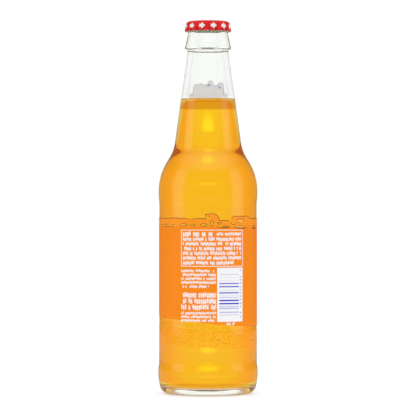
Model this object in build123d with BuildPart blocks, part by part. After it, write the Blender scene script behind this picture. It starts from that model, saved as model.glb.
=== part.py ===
"""A full 355 mL glass soda bottle with a twist-off crown, in millimetres.

+Z is up and the origin is the centre of the base, on the plane the bottle stands on. The side with the small
print faces -Y, and the neck label faces +Y. Six pieces: the glass, the drink, two film labels, and the crown's
metal shell and sealing liner.
"""

import os
from math import acos, cos, degrees, pi, sin

from build123d import *

# Glass body: radii and heights of the outline's corners
BODY_RADIUS = 30.5  # the contact band above the heel
SHOULDER_BAND_RADIUS = 30.4
LABEL_RECESS = 0.55
PANEL_RADIUS = BODY_RADIUS - LABEL_RECESS
PANEL_BOTTOM = 18.5
PANEL_TOP = 116.5
HEEL_CORNER = (28.7, 0.0)
HEEL_BAND_BOTTOM = 10.0
HEEL_BAND_TOP = 15.5
SHOULDER_BAND_BOTTOM = 121.0
SHOULDER_CORNER = (SHOULDER_BAND_RADIUS, 134.0)
NECK_ROOT = (21.0, 148.5)
NECK_TOP = (12.5, 210.0)
BEAD_CORNER = (14.35, 211.0)
BEAD_TOP = (12.3, 219.8)

# Base: a bearing ring round a push-up, knurled on its outer edge
BEARING_INNER_RADIUS = 21.9
PUSH_UP_EDGE = (20.2, 1.7)
PUSH_UP_HEIGHT = 4.3
KNURL_COUNT = 66
KNURL_RADIUS = 0.8
KNURL_LENGTH = 3.6
KNURL_START = 23.3

# Cavity
WALL_INNER_RADIUS = 27.6
FLOOR_HEIGHT = 6.8
FLOOR_EDGE = (19.5, 4.2)
CAVITY_HEEL_CORNER = (26.8, 3.0)
CAVITY_HEEL_TOP = 12.0
CAVITY_SHOULDER_CORNER = (WALL_INNER_RADIUS, 133.6)
CAVITY_NECK_ROOT = (18.25, 148.3)
CAVITY_NECK_TOP = (9.6, 208.0)
BORE_RADIUS = 8.3
BORE_BOTTOM = 215.0
FILL_HEIGHT = 180.2
SODA_CLEARANCE = 0.02  # keeps the drink's solid off the glass

# Twist-off finish
FINISH_TOP = 227.0
THREAD_ROOT_RADIUS = 12.55
THREAD_ROOT_BOTTOM = 221.4
LIP_ROUNDING = 2.0
BORE_ROUNDING = 0.9
THREAD_STARTS = 4
THREAD_LEAD = 6.35  # rise in one turn
THREAD_SWEEP = 130.0  # degrees covered by each of the threads
THREAD_RIDGE_RADIUS = 0.6
THREAD_MAJOR_RADIUS = 13.05
THREAD_BOTTOM = 222.5

# Liner, bonded under the crown's top
LINER_RING = 0.7  # thickness over the glass lip, with its gaps
LINER_DISC = 0.35  # thickness over the mouth
LINER_RING_INNER = 8.0
LINER_DISC_RADIUS = 7.5
SEAT_GAP = 0.02  # between the liner and its neighbours

# Crown
FLUTE_COUNT = 21
POINTS_PER_FLUTE = 8
CROWN_METAL = 0.24
CROWN_CORNER = 2.6  # rounds the top into the skirt
CROWN_FLAT_RADIUS = 11.1
CROWN_TOP = FINISH_TOP + LINER_RING + CROWN_METAL
VALLEY_SHARPNESS = 2.5  # narrows the valleys between the crests
SKIRT_SECTIONS = [(6.2, 14.3, 0.9), (4.6, 14.08, 0.72), (3.6, 13.9, 0.38)]  # drop, crest radius, flute depth

# Labels: clear film
FILM_THICKNESS = 0.07
FILM_GAP = 0.03  # the adhesive, left as a clearance
BODY_LABEL_BOTTOM = 21.5
BODY_LABEL_TOP = 114.5
BODY_LABEL_OVERLAP = 6.0
BODY_LABEL_SEAM = 118.0  # degrees anticlockwise from +X
NECK_LABEL_BOTTOM = 173.2
NECK_LABEL_BAND_TOP = 184.2
NECK_LABEL_HALF_WIDTH = 14.2
NECK_LABEL_CORNER = 1.0
NECK_LABEL_CREST_TOP = 189.0
NECK_LABEL_CREST_HALF_WIDTH = 11.4
NECK_LABEL_BUBBLES = [  # centre across, centre height, radius
    (-9.2, 188.3, 1.9),
    (-5.3, 188.2, 2.6),
    (-1.7, 188.4, 1.8),
    (1.8, 190.2, 2.2),
    (5.6, 188.1, 1.7),
    (9.3, 188.7, 2.5),
]

os.makedirs("parts", exist_ok=True)


def neck_radius(height):
    """The glass's outer radius at a height on the neck's straight cone."""
    share = (height - NECK_ROOT[1]) / (NECK_TOP[1] - NECK_ROOT[1])
    return NECK_ROOT[0] + share * (NECK_TOP[0] - NECK_ROOT[0])


def cavity_wall(top, clearance=0.0):
    """The corners of the cavity's half outline, from the floor's edge to a height, with their roundings."""
    share = (top - CAVITY_NECK_ROOT[1]) / (CAVITY_NECK_TOP[1] - CAVITY_NECK_ROOT[1])
    level_radius = CAVITY_NECK_ROOT[0] + share * (CAVITY_NECK_TOP[0] - CAVITY_NECK_ROOT[0])
    corners = [
        (FLOOR_EDGE, 0),
        (CAVITY_HEEL_CORNER, 5.0),
        ((WALL_INNER_RADIUS, CAVITY_HEEL_TOP), 15.0),
        (CAVITY_SHOULDER_CORNER, 31.6),
        (CAVITY_NECK_ROOT, 27.4),
    ]
    if top > CAVITY_NECK_TOP[1]:
        corners += [(CAVITY_NECK_TOP, 15.0), ((BORE_RADIUS, BORE_BOTTOM), 15.0), ((BORE_RADIUS, top), 0)]
    else:
        corners += [((level_radius, top), 0)]
    points = [(radius - clearance, height + clearance) for (radius, height), _ in corners]
    points[-1] = (points[-1][0], top)
    return points, [rounding for _, rounding in corners[1:-1]]


# Glass bottle
with BuildPart() as glass_bottle:
    with BuildSketch(Plane.XZ):
        outline = [
            (HEEL_CORNER, 5.5),
            ((BODY_RADIUS, HEEL_BAND_BOTTOM), 25.0),
            ((BODY_RADIUS, HEEL_BAND_TOP), 4.0),
            ((PANEL_RADIUS, PANEL_BOTTOM), 4.0),
            ((PANEL_RADIUS, PANEL_TOP), 12.0),
            ((SHOULDER_BAND_RADIUS, SHOULDER_BAND_BOTTOM), 12.0),
            (SHOULDER_CORNER, 34.0),
            (NECK_ROOT, 25.0),
            (NECK_TOP, 0.8),
            (BEAD_CORNER, 0.9),
            (BEAD_TOP, 2.5),
            ((BEAD_TOP[0], THREAD_ROOT_BOTTOM), 0.1),
            ((THREAD_ROOT_RADIUS, THREAD_ROOT_BOTTOM + 0.4), 0.1),
            ((THREAD_ROOT_RADIUS, FINISH_TOP), LIP_ROUNDING),
        ]
        with BuildLine():
            TangentArc((0, PUSH_UP_HEIGHT), PUSH_UP_EDGE, tangent=(1, 0))
            FilletPolyline(
                PUSH_UP_EDGE,
                (BEARING_INNER_RADIUS, 0),
                *[corner for corner, _ in outline],
                (0, FINISH_TOP),
                radius=[0.8, *[rounding for _, rounding in outline]],
            )
            Line((0, FINISH_TOP), (0, PUSH_UP_HEIGHT))
        make_face()
    revolve(axis=Axis.Z)
    with BuildSketch(Plane.XZ):
        wall_points, wall_roundings = cavity_wall(FINISH_TOP)
        with BuildLine():
            TangentArc((0, FLOOR_HEIGHT), wall_points[0], tangent=(1, 0))
            FilletPolyline(*wall_points, radius=wall_roundings)
            Polyline(wall_points[-1], (0, FINISH_TOP), (0, FLOOR_HEIGHT))
        make_face()
    revolve(axis=Axis.Z, mode=Mode.SUBTRACT)
    mouth_edge = glass_bottle.faces().filter_by(Axis.Z).sort_by(Axis.Z)[-1].edges().sort_by(SortBy.RADIUS)[0]
    fillet(mouth_edge, BORE_ROUNDING)

    ridge_centre = THREAD_MAJOR_RADIUS - THREAD_RIDGE_RADIUS
    for start in range(THREAD_STARTS):
        turned = Plane.XY.offset(THREAD_BOTTOM).rotated((0, 0, start * 360 / THREAD_STARTS))
        with BuildLine(turned) as thread_path:
            Helix(THREAD_LEAD, THREAD_LEAD * THREAD_SWEEP / 360, ridge_centre)
        with BuildSketch(Plane(origin=thread_path.line @ 0, z_dir=thread_path.line % 0)):
            Circle(THREAD_RIDGE_RADIUS)
        sweep(path=thread_path.line, is_frenet=True)

    for turn in range(KNURL_COUNT):
        spoke = Plane.XZ.rotated((0, 0, turn * 360 / KNURL_COUNT))
        cut = Plane(origin=spoke.from_local_coords((KNURL_START, 0, 0)), z_dir=spoke.x_dir)
        with BuildSketch(cut):
            Circle(KNURL_RADIUS)
        extrude(amount=KNURL_LENGTH, mode=Mode.SUBTRACT)
glass_bottle.part.label = "glass_bottle"
export_step(glass_bottle.part, "parts/glass_bottle.step")

# Soda, filled to the neck
with BuildPart() as soda:
    with BuildSketch(Plane.XZ):
        soda_points, soda_roundings = cavity_wall(FILL_HEIGHT, SODA_CLEARANCE)
        soda_bottom = FLOOR_HEIGHT + SODA_CLEARANCE
        with BuildLine():
            TangentArc((0, soda_bottom), soda_points[0], tangent=(1, 0))
            FilletPolyline(*soda_points, radius=soda_roundings)
            Polyline(soda_points[-1], (0, FILL_HEIGHT), (0, soda_bottom))
        make_face()
    revolve(axis=Axis.Z)
soda.part.label = "soda"
export_step(soda.part, "parts/soda.step")

# Body label, wrapped round the panel with its end lapped over its start
label_inner = PANEL_RADIUS + FILM_GAP
label_height = BODY_LABEL_TOP - BODY_LABEL_BOTTOM
with BuildPart() as body_label:
    with BuildSketch(Plane.XY.offset(BODY_LABEL_BOTTOM)):
        Circle(label_inner + FILM_THICKNESS)
        Circle(label_inner, mode=Mode.SUBTRACT)
    extrude(amount=label_height)
    lap_angle = degrees(BODY_LABEL_OVERLAP / label_inner)
    with BuildSketch(Plane.XY.offset(BODY_LABEL_BOTTOM)):
        with BuildLine():
            lap_in = CenterArc((0, 0), label_inner + FILM_THICKNESS / 2, BODY_LABEL_SEAM, lap_angle)
            lap_out = CenterArc((0, 0), label_inner + 2 * FILM_THICKNESS, BODY_LABEL_SEAM, lap_angle)
            Line(lap_in @ 0, lap_out @ 0)
            Line(lap_in @ 1, lap_out @ 1)
        make_face()
    extrude(amount=label_height)
body_label.part.label = "body_label"
export_step(body_label.part, "parts/body_label.step")

# Neck label, die-cut with a row of bubbles along its top
with BuildPart() as neck_label:
    low, high = NECK_LABEL_BOTTOM - 5, NECK_LABEL_BAND_TOP + 15
    low_radius, high_radius = neck_radius(low) + FILM_GAP, neck_radius(high) + FILM_GAP
    with BuildSketch(Plane.XZ):
        with BuildLine():
            Polyline(
                (low_radius, low),
                (low_radius + FILM_THICKNESS, low),
                (high_radius + FILM_THICKNESS, high),
                (high_radius, high),
                close=True,
            )
        make_face()
    revolve(axis=Axis.Z)
    with BuildSketch(Plane.XZ):
        for half_width, top_edge in (
            (NECK_LABEL_HALF_WIDTH, NECK_LABEL_BAND_TOP),
            (NECK_LABEL_CREST_HALF_WIDTH, NECK_LABEL_CREST_TOP),
        ):
            with Locations((0, (NECK_LABEL_BOTTOM + top_edge) / 2)):
                RectangleRounded(2 * half_width, top_edge - NECK_LABEL_BOTTOM, NECK_LABEL_CORNER)
        for across, height, radius in NECK_LABEL_BUBBLES:
            with Locations((across, height)):
                Circle(radius)
    extrude(amount=-2 * BODY_RADIUS, mode=Mode.INTERSECT)
neck_label.part.label = "neck_label"
export_step(neck_label.part, "parts/neck_label.step")

# Crown liner
with BuildPart() as crown_liner:
    underside = FINISH_TOP + SEAT_GAP
    corner = CROWN_CORNER - CROWN_METAL - 2 * SEAT_GAP
    corner_height = CROWN_TOP - CROWN_CORNER
    top_side = corner_height + corner
    edge_angle = degrees(acos((underside - corner_height) / corner))
    with BuildSketch(Plane.XZ):
        with BuildLine():
            edge = CenterArc((CROWN_FLAT_RADIUS, corner_height), corner, 90 - edge_angle, edge_angle)
            Polyline(
                edge @ 0,
                (LINER_RING_INNER, underside),
                (LINER_DISC_RADIUS, top_side - LINER_DISC),
                (0, top_side - LINER_DISC),
                (0, top_side),
                edge @ 1,
            )
        make_face()
    revolve(axis=Axis.Z)
crown_liner.part.label = "crown_liner"
export_step(crown_liner.part, "parts/crown_liner.step")


def flute_ring(crest, depth):
    """The points of one closed, fluted section of the skirt: broad crests and narrow valleys."""
    points = []
    count = FLUTE_COUNT * POINTS_PER_FLUTE
    for step in range(count):
        valley = ((1 + cos(2 * pi * step / POINTS_PER_FLUTE)) / 2) ** VALLEY_SHARPNESS
        angle = 2 * pi * step / count
        points.append(((crest - depth * valley) * cos(angle), (crest - depth * valley) * sin(angle)))
    return points


# Crown shell: a fluted skirt under a flat top with a rounded edge
with BuildPart() as crown_shell:
    skirt_top = CROWN_TOP - CROWN_CORNER
    for metal, mode in ((0, Mode.ADD), (CROWN_METAL, Mode.SUBTRACT)):
        for drop, crest, depth in SKIRT_SECTIONS:
            with BuildSketch(Plane.XY.offset(CROWN_TOP - drop)):
                with BuildLine():
                    Spline(*flute_ring(crest - metal, depth), periodic=True)
                make_face()
        with BuildSketch(Plane.XY.offset(skirt_top)):
            Circle(CROWN_FLAT_RADIUS + CROWN_CORNER - metal)
        loft(ruled=True, mode=mode)
    with BuildSketch(Plane.XZ):
        with BuildLine():
            outer = CenterArc((CROWN_FLAT_RADIUS, skirt_top), CROWN_CORNER, 0, 90)
            inner = CenterArc((CROWN_FLAT_RADIUS, skirt_top), CROWN_CORNER - CROWN_METAL, 0, 90)
            Line(outer @ 0, inner @ 0)
            Polyline(outer @ 1, (0, CROWN_TOP), (0, CROWN_TOP - CROWN_METAL), inner @ 1)
        make_face()
    revolve(axis=Axis.Z)
crown_shell.part.label = "crown_shell"
export_step(crown_shell.part, "parts/crown_shell.step")
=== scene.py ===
"""The look of a full glass soda bottle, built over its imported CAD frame, in metres.

The small print faces -Y, where the camera is, and the neck label faces +Y. Lengths below are written in
millimetres and turned into metres when a mesh is made.
"""

from math import acos, atan2, cos, degrees, exp, hypot, pi, radians, sin, sqrt, tan

import bmesh
import bpy
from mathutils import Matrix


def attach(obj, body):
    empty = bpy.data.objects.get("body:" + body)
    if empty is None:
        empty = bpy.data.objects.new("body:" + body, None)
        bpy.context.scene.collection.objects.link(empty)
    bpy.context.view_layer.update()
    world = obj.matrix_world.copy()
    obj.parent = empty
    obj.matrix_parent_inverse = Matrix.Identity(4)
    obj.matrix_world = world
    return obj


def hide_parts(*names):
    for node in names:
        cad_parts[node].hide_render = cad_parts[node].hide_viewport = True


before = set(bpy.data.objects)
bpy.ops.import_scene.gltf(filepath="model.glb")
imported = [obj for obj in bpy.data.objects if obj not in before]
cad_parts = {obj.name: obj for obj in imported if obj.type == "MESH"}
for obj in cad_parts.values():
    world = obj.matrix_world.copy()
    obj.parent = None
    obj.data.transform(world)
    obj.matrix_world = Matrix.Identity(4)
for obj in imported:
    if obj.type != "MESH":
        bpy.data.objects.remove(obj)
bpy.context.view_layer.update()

MM = 0.001

# Glass: (radius, height) of the outline's corners
BODY_RADIUS = 30.5
PANEL_RADIUS = 29.95
SHOULDER_RADIUS = 30.4
NECK_ROOT = (21.0, 148.5)
NECK_TOP = (12.5, 210.0)
FINISH_RADIUS = 12.55
FINISH_TOP = 227.0
PUSH_UP_HEIGHT = 4.3
PUSH_UP_EDGE = (20.2, 1.7)
KNURL_COUNT = 66
KNURL_RADIUS = 0.8
KNURL_START = 23.3
KNURL_END = 27.2
THREAD_STARTS = 4
THREAD_BOTTOM = 222.5
THREAD_LEAD = 6.35  # rise in one turn
THREAD_SWEEP = radians(130)
THREAD_RIDGE_RADIUS = 0.6
THREAD_CENTRE_RADIUS = 12.45
THREAD_RUN_OUT = radians(9)
GLASS_SEGMENTS = 6 * KNURL_COUNT
GLASS_IOR = 1.5

# Cavity and drink
BORE_RADIUS = 8.3
WALL_INNER_RADIUS = 27.6
FLOOR_HEIGHT = 7.3
FLOOR_EDGE = (19.5, 4.7)
CAVITY_NECK_ROOT = (18.25, 148.3)
CAVITY_NECK_TOP = (9.6, 208.0)
FILL_HEIGHT = 179.5
MENISCUS = 0.7  # how far the drink climbs the wall
MENISCUS_LENGTH = 0.9  # how quickly it dies away inward
RIM_WIDTH = 8.0  # the finely stepped outer part of the drink's surface
RIM_STEPS = 16
WET_TOP = FILL_HEIGHT + MENISCUS
DRINK_GAP = 0.02  # keeps the drink's surface off the glass
DRINK_SEGMENTS = GLASS_SEGMENTS // 2
DRINK_IOR = 1.333

# Crown
CROWN_TOP = 227.94
CROWN_CORNER = 2.6  # rounds the top into the skirt
CROWN_FLAT_RADIUS = 11.1
CROWN_METAL = 0.24
FLUTE_COUNT = 21
VALLEY_SHARPNESS = 2.5  # narrows the valleys between the crests
CROWN_SEGMENTS = 14 * FLUTE_COUNT
ARROW_COUNT = 12
ARROW_HEIGHT = 224.7
ARROW_RADIUS = 14.0

# Labels
FILM = 0.07
FILM_GAP = 0.03  # keeps the films off the glass
LABEL_RADIUS = PANEL_RADIUS + FILM_GAP
LABEL_BOTTOM = 21.5
LABEL_TOP = 114.5
LAP_ANGLE = radians(118.0)
LAP_WIDTH = 6.0
LAP_RISE = 0.03  # the angle over which the film steps up onto itself
LABEL_ACROSS = GLASS_SEGMENTS
LABEL_UP = 24
NECK_LABEL_BOTTOM = 173.2
NECK_LABEL_BAND_TOP = 184.2
NECK_LABEL_HALF_WIDTH = 14.2
NECK_LABEL_CREST_TOP = 189.0
NECK_LABEL_CREST_HALF_WIDTH = 11.4
NECK_LABEL_ACROSS = 160
NECK_LABEL_UP = 30
NECK_LABEL_BUBBLES = [  # centre across, centre height, radius
    (-9.2, 188.3, 1.9),
    (-5.3, 188.2, 2.6),
    (-1.7, 188.4, 1.8),
    (1.8, 190.2, 2.2),
    (5.6, 188.1, 1.7),
    (9.3, 188.7, 2.5),
]


# ---------------------------------------------------------------- profiles and meshes
def rounded(corners, step=5.0):
    """Points of an outline through (radius, height, rounding) corners, in order."""
    points = []
    for index, (r, z, rounding) in enumerate(corners):
        if rounding == 0 or index in (0, len(corners) - 1):
            points.append((r, z))
            continue
        before, after = corners[index - 1], corners[index + 1]
        to_before = (before[0] - r, before[1] - z)
        to_after = (after[0] - r, after[1] - z)
        long_before, long_after = hypot(*to_before), hypot(*to_after)
        unit_before = (to_before[0] / long_before, to_before[1] / long_before)
        unit_after = (to_after[0] / long_after, to_after[1] / long_after)
        cosine = max(-1.0, min(1.0, unit_before[0] * unit_after[0] + unit_before[1] * unit_after[1]))
        opening = acos(cosine)
        reach = rounding / tan(opening / 2)
        bisector = (unit_before[0] + unit_after[0], unit_before[1] + unit_after[1])
        length = hypot(*bisector)
        away = rounding / sin(opening / 2)
        centre = (r + bisector[0] / length * away, z + bisector[1] / length * away)
        start = (r + unit_before[0] * reach, z + unit_before[1] * reach)
        end = (r + unit_after[0] * reach, z + unit_after[1] * reach)
        first = atan2(start[1] - centre[1], start[0] - centre[0])
        last = atan2(end[1] - centre[1], end[0] - centre[0])
        sweep = (last - first + pi) % (2 * pi) - pi
        count = max(2, round(abs(degrees(sweep)) / step))
        for k in range(count + 1):
            angle = first + sweep * k / count
            points.append((centre[0] + rounding * cos(angle), centre[1] + rounding * sin(angle)))
    return points


def dome(height, edge, count=14):
    """Points of an arc that is level at the axis, from (0, height) down to an edge."""
    r, z = edge
    drop = height - z
    radius = (r * r + drop * drop) / (2 * drop)
    reach = atan2(r, radius - drop)
    points = []
    for k in range(count):
        angle = reach * k / count
        points.append((radius * sin(angle), height - radius * (1 - cos(angle))))
    points.append(edge)
    return points


def cone_radius(low, high, height):
    """The radius at a height on the cone through two (radius, height) rings."""
    share = (height - low[1]) / (high[1] - low[1])
    return low[0] + share * (high[0] - low[0])


def refine(points, longest):
    """The same outline with no step longer than this."""
    out = [points[0]]
    for (r0, z0), (r1, z1) in zip(points, points[1:]):
        count = max(1, round(hypot(r1 - r0, z1 - z0) / longest))
        for k in range(1, count + 1):
            out.append((r0 + (r1 - r0) * k / count, z0 + (z1 - z0) * k / count))
    return out


def new_object(name, bm, smooth=True):
    """An object with this mesh, in the scene."""
    mesh = bpy.data.meshes.new(name)
    bmesh.ops.recalc_face_normals(bm, faces=bm.faces)
    bm.to_mesh(mesh)
    bm.free()
    for polygon in mesh.polygons:
        polygon.use_smooth = smooth
    obj = bpy.data.objects.new(name, mesh)
    bpy.context.scene.collection.objects.link(obj)
    return obj


def lathe(name, profile, segments, shape=None, slot_of=None):
    """A closed solid turned from an outline that starts and ends on the axis.

    shape(index, angle, r, z) may move a point, and slot_of(index) picks a band's material slot.
    """
    bm = bmesh.new()
    rings = []
    for index, (r, z) in enumerate(profile):
        if index in (0, len(profile) - 1):
            rings.append([bm.verts.new((0.0, 0.0, z * MM))])
            continue
        ring = []
        for k in range(segments):
            angle = 2 * pi * k / segments
            radius, height = shape(index, angle, r, z) if shape else (r, z)
            ring.append(bm.verts.new((radius * cos(angle) * MM, radius * sin(angle) * MM, height * MM)))
        rings.append(ring)
    for index, (lower, upper) in enumerate(zip(rings, rings[1:])):
        for k in range(segments):
            after = (k + 1) % segments
            if len(lower) == 1:
                face = bm.faces.new((lower[0], upper[k], upper[after]))
            elif len(upper) == 1:
                face = bm.faces.new((lower[k], lower[after], upper[0]))
            else:
                face = bm.faces.new((lower[k], lower[after], upper[after], upper[k]))
            if slot_of:
                face.material_index = slot_of(index)
    return new_object(name, bm)


def sheet(name, across, up, place):
    """A closed thin sheet. place(i, j, side) gives a point in mm; side 0 is the outer face and 1 the inner.

    The outer face and the edges take material slot 0, and the inner face slot 1.
    """
    bm = bmesh.new()
    sides = [[], []]
    for side, grid in enumerate(sides):
        for i in range(across + 1):
            grid.append([bm.verts.new([c * MM for c in place(i, j, side)]) for j in range(up + 1)])
    for side, grid in enumerate(sides):
        for i in range(across):
            for j in range(up):
                face = bm.faces.new((grid[i][j], grid[i + 1][j], grid[i + 1][j + 1], grid[i][j + 1]))
                face.material_index = side
    outer, inner = sides
    rim = [(i, 0) for i in range(across)] + [(across, j) for j in range(up)]
    rim += [(i, up) for i in range(across, 0, -1)] + [(0, j) for j in range(up, 0, -1)]
    for (i, j), (k, m) in zip(rim, rim[1:] + rim[:1]):
        bm.faces.new((outer[i][j], outer[k][m], inner[k][m], inner[i][j]))
    return new_object(name, bm)


def first_ring(polygon, segments):
    """The outline point that a turned solid's face starts from."""
    return (min(polygon.vertices) - 1) // segments + 1


def mark_faces(obj, name, chosen):
    """Adds a face attribute for a shader to read: 1 on the faces that chosen(polygon) picks."""
    marks = obj.data.attributes.new(name, "FLOAT", "FACE")
    for polygon in obj.data.polygons:
        marks.data[polygon.index].value = 1.0 if chosen(polygon) else 0.0


# ---------------------------------------------------------------- shader arithmetic
class Value:
    """A number at each point of a surface, written as arithmetic and built as shader nodes."""

    def __init__(self, tree, source):
        self.tree = tree
        self.source = source

    def math(self, operation, *others, clamp=False):
        node = self.tree.nodes.new("ShaderNodeMath")
        node.operation = operation
        node.use_clamp = clamp
        for socket, item in zip(node.inputs, (self, *others)):
            plug(self.tree, item, socket)
        return Value(self.tree, node.outputs[0])

    def __add__(self, other):
        return self.math("ADD", other)

    def __radd__(self, other):
        return self.math("ADD", other)

    def __sub__(self, other):
        return self.math("SUBTRACT", other)

    def __rsub__(self, other):
        return (self * -1.0).math("ADD", other)

    def __mul__(self, other):
        return self.math("MULTIPLY", other)

    def __rmul__(self, other):
        return self.math("MULTIPLY", other)

    def __truediv__(self, other):
        return self.math("DIVIDE", other)

    def __neg__(self):
        return self * -1.0

    def sine(self):
        return self.math("SINE")

    def size(self):
        return self.math("ABSOLUTE")

    def cell(self):
        return self.math("FLOOR")

    def part(self):
        return self.math("FRACT")

    def most(self, other):
        return self.math("MAXIMUM", other)

    def over(self, edge, soft=0.04):
        """1 above an edge and 0 below it, with a soft step between."""
        node = self.tree.nodes.new("ShaderNodeMapRange")
        node.interpolation_type = "SMOOTHSTEP"
        plug(self.tree, self - edge, node.inputs["Value"])
        node.inputs["From Min"].default_value = -soft
        node.inputs["From Max"].default_value = soft
        return Value(self.tree, node.outputs["Result"])

    def under(self, edge, soft=0.04):
        return 1.0 - self.over(edge, soft)

    def within(self, low, high, soft=0.04):
        return self.over(low, soft) * self.under(high, soft)


def plug(tree, item, socket):
    """Joins a value, socket, colour or number to an input."""
    if isinstance(item, Value):
        tree.links.new(item.source, socket)
    elif isinstance(item, bpy.types.NodeSocket):
        tree.links.new(item, socket)
    elif isinstance(item, (tuple, list)):
        socket.default_value = (*item, 1.0) if len(socket.default_value) == 4 else item
    else:
        socket.default_value = item


def place_mm(tree):
    """x, y and z of a surface point in the row frame, in mm."""
    coordinates = tree.nodes.new("ShaderNodeTexCoord")
    split = tree.nodes.new("ShaderNodeSeparateXYZ")
    tree.links.new(coordinates.outputs["Object"], split.inputs[0])
    return [Value(tree, split.outputs[axis]) * 1000.0 for axis in "XYZ"]


def noise(tree, scale, detail=2.0, stretch=(1.0, 1.0, 1.0), roughness=0.5):
    """Smooth noise from 0 to 1, with this many features in a millimetre."""
    coordinates = tree.nodes.new("ShaderNodeTexCoord")
    mapping = tree.nodes.new("ShaderNodeMapping")
    mapping.inputs["Scale"].default_value = [1000.0 * scale * s for s in stretch]
    texture = tree.nodes.new("ShaderNodeTexNoise")
    texture.inputs["Scale"].default_value = 1.0
    texture.inputs["Detail"].default_value = detail
    texture.inputs["Roughness"].default_value = roughness
    tree.links.new(coordinates.outputs["Object"], mapping.inputs[0])
    tree.links.new(mapping.outputs[0], texture.inputs["Vector"])
    return Value(tree, texture.outputs["Fac"])


def chance(tree, a, b, seed):
    """A random number from 0 to 1 for each pair of whole numbers and a seed."""
    vector = tree.nodes.new("ShaderNodeCombineXYZ")
    for socket, item in zip(vector.inputs, (a, b, seed)):
        plug(tree, item, socket)
    texture = tree.nodes.new("ShaderNodeTexWhiteNoise")
    texture.noise_dimensions = "3D"
    tree.links.new(vector.outputs[0], texture.inputs["Vector"])
    return Value(tree, texture.outputs["Value"])


def blend(tree, amount, low, high):
    """A colour between two, by an amount from 0 to 1."""
    node = tree.nodes.new("ShaderNodeMix")
    node.data_type = "RGBA"
    plug(tree, amount, node.inputs[0])
    plug(tree, low, node.inputs[6])
    plug(tree, high, node.inputs[7])
    return node.outputs[2]


def ellipse(u, v, centre, size, soft=0.04):
    """1 inside an ellipse of these half sizes."""
    across = (u - centre[0]) / size[0]
    up = (v - centre[1]) / size[1]
    return (across * across + up * up).under(1.0, soft / min(size) * 2)


def facing(tree):
    """0 where a surface faces the viewer, rising to 1 where it is seen edge-on."""
    node = tree.nodes.new("ShaderNodeLayerWeight")
    node.inputs["Blend"].default_value = 0.5
    return Value(tree, node.outputs["Facing"])


def marked(tree, name):
    """1 on the faces marked with this name."""
    node = tree.nodes.new("ShaderNodeAttribute")
    node.attribute_name = name
    return Value(tree, node.outputs["Fac"])


def reflection_ray(tree):
    """1 for what a surface mirrors and 0 for what is seen through it, so each can be lit on its own."""
    path = tree.nodes.new("ShaderNodeLightPath")
    glossy, passed = [Value(tree, path.outputs[name]) for name in ("Is Glossy Ray", "Is Transmission Ray")]
    return glossy * (1.0 - passed)


def material(name, **settings):
    """A node material with its tree and its Principled shader."""
    made = bpy.data.materials.new(name)
    made.use_nodes = True
    tree = made.node_tree
    shader = next(node for node in tree.nodes if node.type == "BSDF_PRINCIPLED")
    for key, setting in settings.items():
        plug(tree, setting, shader.inputs[key.replace("_", " ")])
    return made, tree, shader


def tinted_depth(tree, lost):
    """Absorbs light on its way through a solid: how much of red, green and blue per metre."""
    absorb = tree.nodes.new("ShaderNodeVolumeAbsorption")
    most = max(lost)
    absorb.inputs["Color"].default_value = (*(1.0 - each / most for each in lost), 1.0)
    absorb.inputs["Density"].default_value = most
    output = next(node for node in tree.nodes if node.type == "OUTPUT_MATERIAL")
    tree.links.new(absorb.outputs[0], output.inputs["Volume"])


def film(tree, shader, colour, hides, glow):
    """Ink on clear film: a colour, how much it hides, and how much of it is lit from behind.

    Seen from its glue side, through the bottle, it is mostly lit from behind.
    """
    glue_side = Value(tree, tree.nodes.new("ShaderNodeNewGeometry").outputs["Backfacing"])
    glow = glue_side.math("MULTIPLY_ADD", 0.75, glow, clamp=True)
    plug(tree, colour, shader.inputs["Base Color"])
    lit_from_behind = tree.nodes.new("ShaderNodeBsdfTranslucent")
    plug(tree, colour, lit_from_behind.inputs["Color"])
    inked = tree.nodes.new("ShaderNodeMixShader")
    plug(tree, glow, inked.inputs[0])
    tree.links.new(shader.outputs[0], inked.inputs[1])
    tree.links.new(lit_from_behind.outputs[0], inked.inputs[2])
    clear = tree.nodes.new("ShaderNodeBsdfTransparent")
    whole = tree.nodes.new("ShaderNodeMixShader")
    plug(tree, hides, whole.inputs[0])
    tree.links.new(clear.outputs[0], whole.inputs[1])
    tree.links.new(inked.outputs[0], whole.inputs[2])
    output = next(node for node in tree.nodes if node.type == "OUTPUT_MATERIAL")
    tree.links.new(whole.outputs[0], output.inputs["Surface"])


def bump(tree, shader, height, distance):
    """Raises the surface by a height field, at most this many millimetres."""
    node = tree.nodes.new("ShaderNodeBump")
    node.inputs["Strength"].default_value = 1.0
    node.inputs["Distance"].default_value = distance * MM
    plug(tree, height, node.inputs["Height"])
    tree.links.new(node.outputs["Normal"], shader.inputs["Normal"])


# ---------------------------------------------------------------- glass
def wall_ripple(angle, z):
    """The slight unevenness of a blown wall's inner side, fading out towards the floor and the mouth."""
    fade = max(0.0, min(1.0, (z - 9) / 12, (205 - z) / 12))
    low = 0.07 * sin(2 * angle + 0.045 * z + 0.6) + 0.05 * sin(3 * angle - 0.031 * z)
    return (low + 0.03 * sin(5 * angle + 0.085 * z + 2.0)) * fade


def knurl(angle, r, z):
    """The height of the bearing ring's outer side, with its radial notches."""
    if not KNURL_START <= r <= KNURL_END or z > 1.2:
        return z
    pitch = 2 * pi / KNURL_COUNT
    aside = r * ((angle + pitch / 2) % pitch - pitch / 2)
    return max(z, sqrt(max(0.0, KNURL_RADIUS**2 - aside**2)))


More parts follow.
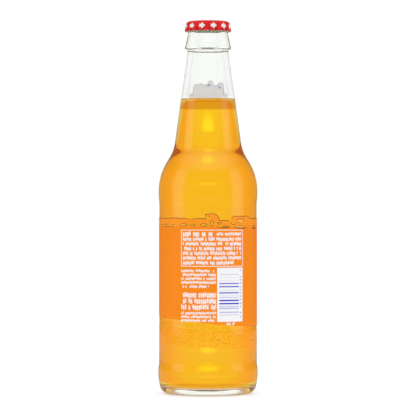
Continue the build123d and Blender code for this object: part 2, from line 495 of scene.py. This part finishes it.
def thread(angle, r, z):
    """The radius of the finish, with the twist-off threads standing on it."""
    for start in range(THREAD_STARTS):
        turned = (angle - start * 2 * pi / THREAD_STARTS) % (2 * pi)
        aside = z - (THREAD_BOTTOM + THREAD_LEAD * turned / (2 * pi))
        if turned < THREAD_SWEEP and abs(aside) < THREAD_RIDGE_RADIUS:
            run_out = 1 - min(1.0, turned / THREAD_RUN_OUT, (THREAD_SWEEP - turned) / THREAD_RUN_OUT)
            r = max(r, THREAD_CENTRE_RADIUS + sqrt(THREAD_RIDGE_RADIUS**2 - aside**2) - 0.5 * run_out)
    return r


def drink_wall(top):
    """The cavity's outline from its floor's edge up to a height."""
    corners = [
        (*FLOOR_EDGE, 0),
        (26.8, 3.5, 5.0),
        (WALL_INNER_RADIUS, 12.0, 15.0),
        (WALL_INNER_RADIUS, 133.6, 31.6),
        (*CAVITY_NECK_ROOT, 27.4),
        (cone_radius(CAVITY_NECK_ROOT, CAVITY_NECK_TOP, top), top, 0),
    ]
    return refine(rounded(corners), 4.0)


outer = rounded(
    [
        (*PUSH_UP_EDGE, 0),
        (21.9, 0.0, 0.8),
        (28.7, 0.0, 5.5),
        (BODY_RADIUS, 10.0, 25.0),
        (BODY_RADIUS, 15.2, 9.0),
        (PANEL_RADIUS, 18.9, 9.0),
        (PANEL_RADIUS, 116.5, 12.0),
        (SHOULDER_RADIUS, 121.0, 12.0),
        (SHOULDER_RADIUS, 134.0, 34.0),
        (*NECK_ROOT, 25.0),
        (*NECK_TOP, 0.8),
        (14.35, 211.0, 0.9),
        (12.3, 219.8, 2.5),
        (12.3, 221.4, 0.1),
        (FINISH_RADIUS, 221.8, 0.1),
        (FINISH_RADIUS, 226.5, 0),
    ]
)
# finer steps on the bearing ring, for its notches, and on the finish, for its threads
ring_start = next(k for k, (r, z) in enumerate(outer) if r > 23.0 and z < 0.01)
ring_end = ring_start + 6
outer = outer[:ring_start] + refine(outer[ring_start - 1 : ring_end], 0.4)[1:] + outer[ring_end:]
outer = refine(outer[:-2], 8.0) + refine(outer[-2:], 0.16)
lip = rounded(
    [
        (FINISH_RADIUS, 224.9, 0),
        (FINISH_RADIUS, FINISH_TOP, 2.0),
        (BORE_RADIUS, FINISH_TOP, 0.9),
        (BORE_RADIUS, 225.0, 0),
    ],
    10.0,
)
lip = [point for point in lip[1:] if point[0] < FINISH_RADIUS - 0.001]
outer = [point for point in outer if point[1] < lip[0][1] - 0.02]
upper_cavity = rounded(
    [(BORE_RADIUS, 225.0, 0), (BORE_RADIUS, 215.0, 15.0), (*CAVITY_NECK_TOP, 15.0), (*CAVITY_NECK_ROOT, 0)]
)
upper_cavity = refine(upper_cavity[1:-1], 4.0)
waterline = (cone_radius(CAVITY_NECK_ROOT, CAVITY_NECK_TOP, WET_TOP), WET_TOP)
dry_neck = refine([upper_cavity[-1], waterline], 4.0)[1:]
wetted = drink_wall(WET_TOP)[-2::-1] + dome(FLOOR_HEIGHT, FLOOR_EDGE)[-2::-1]
glass_profile = dome(PUSH_UP_HEIGHT, PUSH_UP_EDGE)[:-1] + outer + lip + upper_cavity + dry_neck
wet_from = len(glass_profile) - 1
glass_profile += wetted


def shape_glass(index, angle, r, z):
    """Cuts the notches, raises the threads and ripples the inner wall."""
    if index < wet_from and z < 1.5:
        return r, knurl(angle, r, z)
    if 221.6 < z < 226.6 and r > 12:
        return thread(angle, r, z), z
    if index > len(outer) and r < 27.9:
        return r + wall_ripple(angle, z), z
    return r, z


glass = lathe("glass_body", glass_profile, GLASS_SEGMENTS, shape_glass)
mark_faces(glass, "wet", lambda polygon: first_ring(polygon, GLASS_SEGMENTS) >= wet_from)

glass_look, tree, shader = material("flint_glass", Transmission_Weight=1.0)
tinted_depth(tree, (2.0, 1.5, 2.5))
# painted shade: the glass above the drink is painted greyer, more so where it is seen edge-on
dry = place_mm(tree)[2].over(181.5, 1.5)
painted_neck_shade = dry * (0.07 + 0.14 * facing(tree).over(0.2, 0.2))
plug(tree, blend(tree, painted_neck_shade, (0.975, 0.985, 0.97), (0.45, 0.46, 0.42)), shader.inputs["Base Color"])
# a wet face bends light as glass against drink does, and the drink's own side then bends it no further
plug(tree, GLASS_IOR + marked(tree, "wet") * (GLASS_IOR / DRINK_IOR - GLASS_IOR), shader.inputs["IOR"])
plug(tree, noise(tree, 0.06, 1.0) * 0.004, shader.inputs["Roughness"])
bump(tree, shader, noise(tree, 0.05, 1.0, (1.0, 1.0, 0.5)), 0.05)
glass.data.materials.append(glass_look)
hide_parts("glass_bottle")
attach(glass, "bottle")

# ---------------------------------------------------------------- the drink
side = [(r - DRINK_GAP, z + DRINK_GAP) for r, z in drink_wall(WET_TOP)]
side[-1] = (side[-1][0], WET_TOP)
surface = []
for k in range(1, RIM_STEPS + 1):
    inward = RIM_WIDTH * (k / RIM_STEPS) ** 1.7
    surface.append((side[-1][0] - inward, FILL_HEIGHT + MENISCUS * exp(-inward / MENISCUS_LENGTH)))
surface.append((0.0, FILL_HEIGHT))
drink_floor = [(r, z + DRINK_GAP) for r, z in dome(FLOOR_HEIGHT, FLOOR_EDGE)]
drink_profile = drink_floor[:-1] + side + surface
side_end = len(drink_floor) - 1 + len(side)


def shape_drink(index, angle, r, z):
    """Follows the glass's ripple."""
    if index < side_end:
        return r + wall_ripple(angle, z), z
    return r, z


drink = lathe("drink", drink_profile, DRINK_SEGMENTS, shape_drink)
mark_faces(drink, "open_top", lambda polygon: first_ring(polygon, DRINK_SEGMENTS) >= side_end - 1)

# the drink's colour is painted deeper where it is seen through more of the wall, a painted shade by viewing
# angle, and painted paler at the very edge, a painted highlight
drink_look, tree, shader = material("orange_drink", Roughness=0.0, Transmission_Weight=0.93)
slant = facing(tree)
tint = blend(tree, slant.over(0.14, 0.16), (0.995, 0.64, 0.011), (0.995, 0.46, 0.009))
plug(tree, blend(tree, slant.over(0.43, 0.09), tint, (1.0, 0.92, 0.25)), shader.inputs["Base Color"])
plug(tree, 1.0 + marked(tree, "open_top") * (DRINK_IOR - 1.0), shader.inputs["IOR"])
tinted_depth(tree, (0.2, 4.2, 10.0))
drink.data.materials.append(drink_look)
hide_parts("soda")
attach(drink, "bottle")

# ---------------------------------------------------------------- body label
def place_label(i, j, side):
    """The film once round the panel and over its own start, where it steps up by its thickness."""
    angle = LAP_ANGLE + (2 * pi + LAP_WIDTH / LABEL_RADIUS) * i / LABEL_ACROSS
    past = max(0.0, min(1.0, (angle - LAP_ANGLE - 2 * pi + LAP_RISE) / LAP_RISE))
    radius = LABEL_RADIUS + (0 if side else FILM) + past * (FILM + 0.01)
    height = LABEL_BOTTOM + (LABEL_TOP - LABEL_BOTTOM) * j / LABEL_UP
    return radius * cos(angle), radius * sin(angle), height


label = sheet("body_label_film", LABEL_ACROSS, LABEL_UP, place_label)

DEEP_ORANGE = (0.97, 0.272, 0.003)
LIGHT_ORANGE = (0.97, 0.31, 0.014)
WHITE_INK = (0.84, 0.84, 0.86)
BLUE_INK = (0.03, 0.03, 0.55)
DARK_INK = (0.1, 0.07, 0.03)
PITH = (0.93, 0.78, 0.42)


class Print:
    """Layers of ink on clear film: a colour, how much it hides, and how much of it is lit from behind."""

    def __init__(self, tree):
        self.tree = tree
        self.colour = DEEP_ORANGE
        self.hides = 0.0
        self.glow = 0.0

    def between(self, mask, low, high):
        node = self.tree.nodes.new("ShaderNodeMix")
        for socket, item in zip((node.inputs[0], node.inputs[2], node.inputs[3]), (mask, low, high)):
            plug(self.tree, item, socket)
        return Value(self.tree, node.outputs[0])

    def lay(self, mask, colour, hides, glow=0.0):
        self.colour = blend(self.tree, mask, self.colour, colour)
        self.hides = self.between(mask, self.hides, hides)
        self.glow = self.between(mask, self.glow, glow)


def small_print(u, z, blocks):
    """Rows of small blocks that stand for lines of text, with no letters in them.

    Each block has a left, a right, a top, a row pitch, a number of rows, and a mark's width and height. One
    pattern is drawn, with its measures chosen by the block that a point is in.
    """
    tree = u.tree
    chosen = [0.0] * 6
    for left, right, top, pitch, rows, width, height in blocks:
        here = u.within(left, right, 0.001) * z.within(top - rows * pitch, top, 0.001)
        measures = (1.0, left, top, pitch, width, height)
        chosen = [here * value + total for value, total in zip(measures, chosen)]
    printed, left, top, pitch, width, height = chosen
    line = (top - z) / pitch.most(0.1)
    along = (u - left) / width.most(0.1)
    row, down, column, across = line.cell(), line.part(), along.cell(), along.part()
    gap, rise, slim, side, low = [chance(tree, column, row, top + seed) for seed in (0.0, 0.3, 0.5, 0.7, 0.9)]
    start = 0.24 - 0.14 * rise.over(0.6, 0.01)
    mark = down.over(start, 0.06) * down.under(start + height, 0.06)
    mark = mark * across.within(0.04, 0.76 + 0.18 * slim, 0.08)
    level = start + height * (0.2 + 0.6 * low)
    notch = across.within(0.2 + 0.25 * side, 0.42 + 0.35 * side, 0.1)
    notch = notch * (down - level).size().under(height * 0.14, 0.06)
    return gap.over(0.14, 0.001) * mark * (1.0 - notch * 0.6) * printed


# across, height, half width and half height of the curl's and the hump's lobes, and of the clear drops
LOBES = [
    (2.4, 107.9, 2.5, 2.3),
    (4.0, 106.9, 2.5, 2.3),
    (-0.2, 108.9, 1.3, 0.75),
    (17.3, 105.9, 2.7, 2.55),
]
DROPS = [
    (0.3, 107.6, 1.5, 0.95),
    (21.4, 105.9, 2.8, 1.35),
    (16.0, 104.3, 1.7, 0.9),
    (2.3, 104.2, 1.05, 1.8),
    (-29.0, 103.0, 8.4, 0.9),
    (-15.4, 103.35, 2.7, 0.85),
    (-9.4, 103.2, 1.7, 0.65),
    (-2.6, 103.3, 2.1, 0.95),
    (6.9, 104.3, 1.2, 0.7),
    (9.6, 102.1, 4.4, 0.7),
    (21.8, 101.9, 4.8, 1.1),
    (36.2, 101.8, 3.2, 1.3),
]


def splash(u, z, grow, front):
    """The printed drink below its wavy top edge, grown by a margin.

    The back has a curl, a hump and clear drops, and the front dips away from the back's edge.
    """
    wave = 107.05 + 0.28 * (u * 0.266 + 1.0).sine() + 0.16 * (u * 0.732).sine()
    if front:
        return z.under(wave - 5.6 * u.size().over(54.7, 7.5) + grow)
    wave = wave - 1.25 * u.within(6.2, 14.6, 1.2) + 1.15 * u.within(16.2, 28.0, 1.9)
    body = z.under(wave + grow)
    for across, height, wide, tall in LOBES:
        body = body.most(ellipse(u, z, (across, height), (wide + grow, tall + grow)))
    for across, height, wide, tall in DROPS:
        body = body * (1.0 - ellipse(u, z, (across, height), (wide - grow, tall - grow)))
    return body


SLICE_HEIGHT = 70.0
SEGMENT_COUNT = 10
BUBBLES = [  # across, height, radius
    (27.0, 88.0, 3.0),
    (-26.5, 52.0, 3.6),
    (25.0, 50.5, 2.1),
    (-28.5, 86.0, 2.0),
]


def hoop(u, z, centre, radius, line):
    """A circle's outline, this thick."""
    inner = radius - line
    return ellipse(u, z, centre, (radius, radius)) * (1.0 - ellipse(u, z, centre, (inner, inner)))


def citrus(ink, u, z):
    """A generic citrus slice on the label's front, with bubbles round it."""
    up = z - SLICE_HEIGHT
    distance = (u * u + up * up).math("SQRT")
    for edge, colour, hides in (
        (23.0, WHITE_INK, 0.95),
        (22.1, BLUE_INK, 0.97),
        (21.3, LIGHT_ORANGE, 0.95),
        (19.6, PITH, 0.95),
    ):
        ink.lay(distance.under(edge), colour, hides)
    segment = 2 * pi / SEGMENT_COUNT
    wedge = (up.math("ARCTAN2", u) * (1 / segment) + 0.25).part()
    off_rib = (0.5 - (wedge - 0.5).size()) * segment * distance
    flesh = off_rib.over(0.75, 0.12) * distance.within(2.6, 17.8, 0.15)
    streak = noise(u.tree, 0.5, 3.0, (1.0, 1.0, 0.6))
    ink.lay(flesh, blend(u.tree, streak, (0.9, 0.3, 0.015), (0.95, 0.52, 0.06)), 0.9)
    for across, height, radius in BUBBLES:
        ink.lay(hoop(u, z, (across, height), radius, 0.55), WHITE_INK, 0.9)
        glint = (across - radius * 0.3, height + radius * 0.3)
        ink.lay(ellipse(u, z, glint, (radius * 0.22, radius * 0.22)), WHITE_INK, 0.9)


# height, half thickness and strength of each bar on the striped panel
BARS = [
    (73.4, 0.28, 0.3),
    (71.6, 0.4, 0.08),
    (69.6, 0.3, 0.12),
    (68.0, 0.35, 0.85),
    (66.1, 0.4, 0.85),
    (63.9, 0.25, 0.15),
    (62.4, 0.4, 0.85),
    (60.7, 0.3, 0.15),
    (59.6, 0.25, 0.4),
    (57.8, 0.42, 1.0),
    (55.9, 0.42, 1.0),
    (54.1, 0.3, 0.45),
    (53.0, 0.3, 0.55),
    (50.7, 0.32, 0.5),
    (49.1, 0.28, 0.3),
]

# left, right, top, row pitch and count, and a mark's width in mm and height as a share of its row
SMALL_PRINT = [
    (-15.9, 3.9, 99.6, 3.2, 1, 1.35, 0.76),
    (5.2, 21.8, 99.3, 2.9, 1, 0.85, 0.6),
    (-15.9, 21.8, 96.2, 2.85, 5, 0.95, 0.66),
    (-15.9, 16.6, 81.9, 2.85, 1, 0.95, 0.66),
    (-17.0, 4.9, 76.8, 2.33, 4, 0.95, 0.6),
    (-17.0, 0.4, 67.4, 2.33, 1, 0.95, 0.6),
    (-17.0, 4.9, 63.2, 3.75, 3, 1.25, 0.72),
    (-17.0, 4.9, 51.3, 2.25, 3, 0.95, 0.6),
    (11.4, 16.9, 44.9, 2.0, 1, 1.0, 0.7),
]


TEXT_BOX = (-17.1, 23.15, 78.2, 100.4)  # left, right, bottom and top
CODE_PANEL = (5.55, 23.0, 45.0, 77.5)  # left, right, bottom and top
BAR_ENDS = (6.8, 20.0)


def area(u, z, left, right, bottom, top):
    """1 inside a rectangle."""
    return u.within(left, right) * z.within(bottom, top)


def box_line(u, z, left, right, bottom, top, line):
    """A rectangle's outline, this thick."""
    inside = area(u, z, left + line, right - line, bottom + line, top - line)
    return area(u, z, left, right, bottom, top) * (1.0 - inside)


def body_label_print(front):
    """Half of the label's print: the front has a picture, and the back has the curl and the small print."""
    name = "label_print_front" if front else "label_print_back"
    made, tree, shader = material(name, Roughness=0.3, Specular_IOR_Level=0.2)
    x, y, z = place_mm(tree)
    angle = x.math("ARCTAN2", -y)
    u = angle * LABEL_RADIUS
    ink = Print(tree)
    ragged = noise(tree, 0.35, 2.0)

    foot = 44.9 - 3.1 * (angle + 0.26).sine() + (ragged - 0.5) * 0.8
    printed = z.over(foot, 0.08)
    filled = splash(u, z, 0.0, front)
    # painted light: the orange is painted lighter above 102.3 mm, for the brighter light coming through the
    # ink from behind there
    shade = blend(tree, z.over(102.3, 1.0), DEEP_ORANGE, LIGHT_ORANGE)
    ink.lay(printed * filled, shade, 0.9, 0.15)
    outline = splash(u, z, 0.4, front) * (1.0 - filled) * printed
    ink.lay(outline * noise(tree, 0.25, 1.0).over(0.36, 0.08), DARK_INK, 0.92)

    # a dotted red edge, a clear gap and a stippled froth under the orange
    edge = z.within(foot - 0.1, foot + 0.45, 0.12) * noise(tree, 0.5, 1.0).over(0.56, 0.05)
    ink.lay(edge, (0.72, 0.1, 0.01), 0.7)
    froth_top = 41.0 - 1.8 * (angle + 0.7).sine() + (ragged - 0.5) * 1.0
    froth = z.within(froth_top - 10.4, froth_top, 0.25)
    dots = noise(tree, 1.15, 2.0, (1.0, 1.0, 0.8), 0.6)
    ink.lay(froth * dots.over(0.52, 0.07), (1.0, 0.33, 0.01), 0.12 if front else 0.5, 0.15)

    if front:
        citrus(ink, (-x).math("ARCTAN2", y) * LABEL_RADIUS, z)
    else:
        box = box_line(u, z, *TEXT_BOX, 0.4)
        ink.lay(box.most(small_print(u, z, SMALL_PRINT)), WHITE_INK, 0.96)
        ink.lay(area(u, z, *CODE_PANEL), WHITE_INK, 1.0)
        stripes = 0.0
        for height, half, strength in BARS:
            stripes = (z - height).size().under(half, 0.08) * strength + stripes
        stripes = stripes * u.within(*BAR_ENDS, 0.05)
        ticks = small_print(u, z, [(20.7, 22.2, 76.9, 2.0, 15, 1.5, 0.45)])
        ink.lay(stripes.most(ticks * 0.55), BLUE_INK, 1.0)

    film(tree, shader, ink.colour, ink.hides + 0.015, ink.glow)
    return made


def clear_film():
    """The label's glue side, all but invisible."""
    made, tree, shader = material("clear_film", Base_Color=(0.9, 0.9, 0.9), Roughness=0.15, IOR=1.5)
    plug(tree, noise(tree, 0.3, 1.0) * 0.01, shader.inputs["Alpha"])
    return made


label.data.materials.append(body_label_print(front=False))
label.data.materials.append(clear_film())
label.data.materials.append(body_label_print(front=True))
for polygon in label.data.polygons:
    if polygon.material_index == 0 and polygon.center.y > 0:
        polygon.material_index = 2
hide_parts("body_label")
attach(label, "bottle")

# ---------------------------------------------------------------- neck label
def neck_edges(across):
    """The neck label's lower and upper edge at a distance across."""
    corner = max(0.0, abs(across) - (NECK_LABEL_HALF_WIDTH - 1.0))
    cut = 1.0 - sqrt(max(0.0, 1.0 - corner * corner))
    low, high = NECK_LABEL_BOTTOM + cut, NECK_LABEL_BAND_TOP - cut
    if abs(across) < NECK_LABEL_CREST_HALF_WIDTH:
        corner = max(0.0, abs(across) - (NECK_LABEL_CREST_HALF_WIDTH - 1.0))
        high = max(high, NECK_LABEL_CREST_TOP - 1.0 + sqrt(max(0.0, 1.0 - corner * corner)))
    for centre, height, radius in NECK_LABEL_BUBBLES:
        if abs(across - centre) < radius:
            high = max(high, height + sqrt(radius * radius - (across - centre) ** 2))
    return low, high


def place_neck_label(i, j, side):
    """The film on the neck's cone, with closer steps towards its sides."""
    share = i / NECK_LABEL_ACROSS
    across = NECK_LABEL_HALF_WIDTH * (0.35 * sin((share - 0.5) * pi) + 0.65 * (2 * share - 1))
    low, high = neck_edges(across)
    z = low + (high - low) * j / NECK_LABEL_UP
    radius = cone_radius(NECK_ROOT, NECK_TOP, z)
    radius += FILM_GAP + (0 if side else FILM)
    return across, sqrt(radius * radius - across * across), z


neck_label = sheet("neck_label_film", NECK_LABEL_ACROSS, NECK_LABEL_UP, place_neck_label)


def neck_label_print(front):
    """The neck label's printed front, or its pale glue side with the blue outlines showing through."""
    made, tree, shader = material("neck_print_front" if front else "neck_print_back", Roughness=0.35, IOR=1.5)
    x, y, z = place_mm(tree)
    ink = Print(tree)
    ink.lay(1.0, blend(tree, noise(tree, 0.8, 2.0), (0.96, 0.94, 0.91), (0.99, 0.97, 0.95)), 1.0)
    line = 0.35
    low = NECK_LABEL_BOTTOM + line
    band, crest = NECK_LABEL_HALF_WIDTH - line, NECK_LABEL_CREST_HALF_WIDTH - line
    fill = area(x, z, -band, band, low, NECK_LABEL_BAND_TOP - line)
    fill = fill.most(area(x, z, -crest, crest, low, NECK_LABEL_CREST_TOP - line))
    for centre, height, radius in NECK_LABEL_BUBBLES:
        fill = fill.most(ellipse(x, z, (centre, height), (radius - line, radius - line)))
    speckle = noise(tree, 0.35, 1.0).over(0.1 if front else 0.5, 0.1)
    rim = (1.0 - fill) * z.over(NECK_LABEL_BOTTOM + 2.0) * speckle
    if front:
        ink.lay(fill, WHITE_INK, 1.0)
        wave = z - 179.0 - 0.25 * (x * 0.6).sine()
        ink.lay(fill * wave.under(0.0), (0.95, 0.64, 0.26), 1.0)
        ink.lay(fill * wave.within(-0.9, -0.3), WHITE_INK, 1.0)
        for centre, height, radius in ((-6.5, 177.2, 1.2), (0.5, 176.2, 1.6), (7.6, 177.6, 1.1)):
            ink.lay(hoop(x, z, (centre, height), radius, 0.4), WHITE_INK, 1.0)
    ink.lay(rim * (0.8 if front else 0.3), (0.12, 0.1, 0.62), 1.0)
    for centre, height, radius in (NECK_LABEL_BUBBLES[3], NECK_LABEL_BUBBLES[5]):
        spot = (centre - radius * 0.35, height - radius * 0.25)
        dark = ellipse(x, z, spot, (radius * 0.34, radius * 0.28), 0.15)
        ink.lay(dark * (0.9 if front else 0.4), (0.1, 0.08, 0.62), 1.0)
    if not front:
        faint = (z - 182.2 + x * 0.07).within(-0.5, 0.5, 0.4)
        ink.lay(faint * 0.25, (0.85, 0.7, 0.64), 1.0)
    film(tree, shader, ink.colour, 0.85, 0.1 if front else 0.8)
    return made


neck_label.data.materials.append(neck_label_print(front=True))
neck_label.data.materials.append(neck_label_print(front=False))
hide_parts("neck_label")
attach(neck_label, "bottle")

# ---------------------------------------------------------------- crown
SKIRT = [  # drop below the top, crest radius and flute depth
    (CROWN_CORNER, 13.7, 0.0),
    (3.1, 13.8, 0.16),
    (3.6, 13.9, 0.38),
    (4.6, 14.08, 0.72),
    (6.2, 14.3, 0.9),
]
SKIRT_STEP = 0.3
SKIRT_STEPS = 12


def skirt(drop):
    """Crest radius and flute depth this far below the crown's top."""
    for (d0, r0, f0), (d1, r1, f1) in zip(SKIRT, SKIRT[1:]):
        if drop <= d1:
            share = (drop - d0) / (d1 - d0)
            return r0 + (r1 - r0) * share, f0 + (f1 - f0) * share
    return SKIRT[-1][1:]


def crown_side(flat_radii, inset):
    """One side of the metal, from the axis to the skirt's edge, this far in from the outside."""
    corner = CROWN_CORNER - inset
    points = [(r, CROWN_TOP - inset) for r in flat_radii]
    for turn in range(0, 91, 6):
        along, down = corner * sin(radians(turn)), CROWN_CORNER - corner * cos(radians(turn))
        points.append((CROWN_FLAT_RADIUS + along, CROWN_TOP - down))
    for step in range(1, SKIRT_STEPS + 1):
        drop = CROWN_CORNER + SKIRT_STEP * step
        points.append((skirt(drop)[0] - inset, CROWN_TOP - drop))
    return points


crown_outside = crown_side((0.0, 3.0, 6.0, 8.5, 10.0), 0.0)
crown_edge = [(14.27, CROWN_TOP - 6.28), (14.16, CROWN_TOP - 6.32), (14.07, CROWN_TOP - 6.25)]
crown_inside = crown_side((0.0, 5.0, 9.0), CROWN_METAL)[::-1]
edge_start = len(crown_outside) - 1
edge_end = edge_start + len(crown_edge)


def shape_crown(index, angle, r, z):
    """Pinches the skirt into flutes."""
    drop = CROWN_TOP - z
    depth = skirt(drop)[1] if drop > CROWN_CORNER else 0.0
    valley = ((1 + cos(FLUTE_COUNT * angle)) / 2) ** VALLEY_SHARPNESS
    return r - depth * valley, z


def crown_slot(index):
    """Lacquer outside, bare metal on the cut edge and inside."""
    if index < edge_start:
        return 0
    return 1 if index < edge_end else 2


crown = lathe(
    "crown_cap",
    crown_outside + crown_edge + crown_inside,
    CROWN_SEGMENTS,
    shape_crown,
    crown_slot,
)


def crown_lacquer():
    """Red lacquer with a ring of white arrows that point the way the crown unscrews."""
    made, tree, shader = material("crown_lacquer", Specular_IOR_Level=0.2)
    x, y, z = place_mm(tree)
    turn = x.math("ARCTAN2", -y) * (ARROW_COUNT / (2 * pi))
    along = (turn.part() - 0.5) * (2 * pi / ARROW_COUNT * ARROW_RADIUS)
    up = (z - ARROW_HEIGHT).size()
    tail = along.within(-1.95, -0.3, 0.06) * up.under(0.95, 0.06)
    head = along.over(-0.5, 0.06) * (up + (along + 0.5) * 0.82).under(2.05, 0.08)
    arrow = tail.most(head)
    cloud = noise(tree, 0.5, 3.0)
    red = blend(tree, cloud, (0.6, 0.006, 0.005), (0.7, 0.011, 0.008))
    # painted shade: the flute valleys low on the skirt are painted darker red
    valley = (y.math("ARCTAN2", x) * FLUTE_COUNT + pi / 2).sine().over(0.45, 0.5)
    shade = valley * z.under(CROWN_TOP - 4.6, 1.2) * 0.45
    red = blend(tree, shade, red, (0.16, 0.002, 0.002))
    plug(tree, blend(tree, arrow, red, (0.74, 0.76, 0.75)), shader.inputs["Base Color"])
    plug(tree, 0.26 + cloud * 0.12, shader.inputs["Roughness"])
    plug(tree, 0.05, shader.inputs["Coat Weight"])
    plug(tree, 0.12, shader.inputs["Coat Roughness"])
    bump(tree, shader, noise(tree, 1.6, 2.0), 0.012)
    return made


def bare_metal(name, low, high):
    """Tinplate between two shades."""
    made, tree, shader = material(name, Metallic=1.0)
    grain = noise(tree, 1.2, 3.0)
    plug(tree, blend(tree, grain, low, high), shader.inputs["Base Color"])
    plug(tree, 0.22 + grain * 0.2, shader.inputs["Roughness"])
    return made


crown.data.materials.append(crown_lacquer())
crown.data.materials.append(bare_metal("crown_cut_edge", (0.5, 0.47, 0.44), (0.66, 0.64, 0.6)))
crown.data.materials.append(bare_metal("crown_inside", (0.62, 0.55, 0.4), (0.74, 0.68, 0.52)))
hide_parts("crown_shell")
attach(crown, "crown")

liner_look, tree, shader = material("liner_compound", Roughness=0.45, IOR=1.5)
speckle = noise(tree, 1.5, 3.0)
plug(tree, blend(tree, speckle, (0.66, 0.68, 0.67), (0.76, 0.78, 0.77)), shader.inputs["Base Color"])
bump(tree, shader, speckle, 0.01)
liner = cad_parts["crown_liner"]
liner.data.materials.clear()
liner.data.materials.append(liner_look)

# ---------------------------------------------------------------- studio
# two pools of light on the floor behind the bottle are seen only through it
floor_bm = bmesh.new()
bmesh.ops.create_circle(floor_bm, cap_ends=True, segments=96, radius=0.75)
for vertex in floor_bm.verts:
    vertex.co.z = -0.0002
studio_floor = new_object("studio_floor", floor_bm, smooth=False)
floor_look, tree, shader = material("floor_white", Roughness=0.9, Emission_Color=(1.0, 1.0, 1.0))
dim = 1.0 - reflection_ray(tree) * 0.75
x, y, z = place_mm(tree)
pools = ellipse(x, y, (0, 454), (27, 56), 11) + ellipse(x, y, (0, 118), (6, 34), 2.5)
through = Value(tree, tree.nodes.new("ShaderNodeLightPath").outputs["Is Transmission Ray"])
plug(tree, blend(tree, dim, (0.0, 0.0, 0.0), (0.5, 0.5, 0.5)), shader.inputs["Base Color"])
glow = 0.53 + noise(tree, 0.02, 1.0) * 0.04 + pools * through * 0.5
plug(tree, glow * dim, shader.inputs["Emission Strength"])
studio_floor.data.materials.append(floor_look)

# A bright backdrop behind the bottle, softboxes at both sides and one overhead, and a lamp low behind, which
# all turn with the camera. level is what is seen through the glass, and mirrored is what it reflects.
world = bpy.data.worlds.new("studio")
bpy.context.scene.world = world
world.use_nodes = True
tree = world.node_tree
coordinates = tree.nodes.new("ShaderNodeTexCoord")
split = tree.nodes.new("ShaderNodeSeparateXYZ")
tree.links.new(coordinates.outputs["Camera"], split.inputs[0])
right, up, ahead = [Value(tree, split.outputs[axis]) for axis in "XYZ"]
bearing = right.size().math("ARCTAN2", ahead)
backdrop, side_boxes, overhead = bearing.under(1.25, 0.35), bearing.within(1.05, 1.6, 0.2), up.over(0.6, 0.2)
lamp = ellipse(right, up, (0.0, -0.0593), (0.08, 0.007), 0.00315) * bearing.under(1.5)
level = (1.0 + 0.24 * overhead).most(backdrop * 1.14).most(side_boxes * 1.3) + lamp * 0.5
backdrop, dimmed, overhead = bearing.under(0.25, 0.15), bearing.within(0.3, 1.6, 0.15), up.over(0.7, 0.15)
side_boxes = bearing.within(1.55, 2.15, 0.14) * up.size().under(0.62, 0.15)
mirrored = (0.15 - 0.06 * dimmed + 0.8 * overhead).most(backdrop * 1.2).most(side_boxes * 1.05)
path = tree.nodes.new("ShaderNodeLightPath")
seen = Value(tree, path.outputs["Is Camera Ray"])
glossy = reflection_ray(tree)
strength = (level * (1.0 - glossy) + mirrored * glossy) * (1.0 - seen) + seen * 1.02
background = next(node for node in tree.nodes if node.type == "BACKGROUND")
background.inputs["Color"].default_value = (1.0, 1.0, 1.0, 1.0)
plug(tree, strength, background.inputs["Strength"])

# ---------------------------------------------------------------- camera
camera_data = bpy.data.cameras.new("camera")
camera_data.lens = 211.6
camera_data.clip_end = 20
camera = bpy.data.objects.new("camera", camera_data)
camera.location = (0.0, -1.5, 0.1135)
camera.rotation_euler = (pi / 2, 0.0, 0.0)
bpy.context.scene.collection.objects.link(camera)
bpy.context.scene.camera = camera
scene = bpy.context.scene
scene.view_settings.view_transform = "Standard"
scene.cycles.max_bounces = 64
scene.cycles.glossy_bounces = 32
scene.cycles.transmission_bounces = 64
scene.cycles.transparent_max_bounces = 32
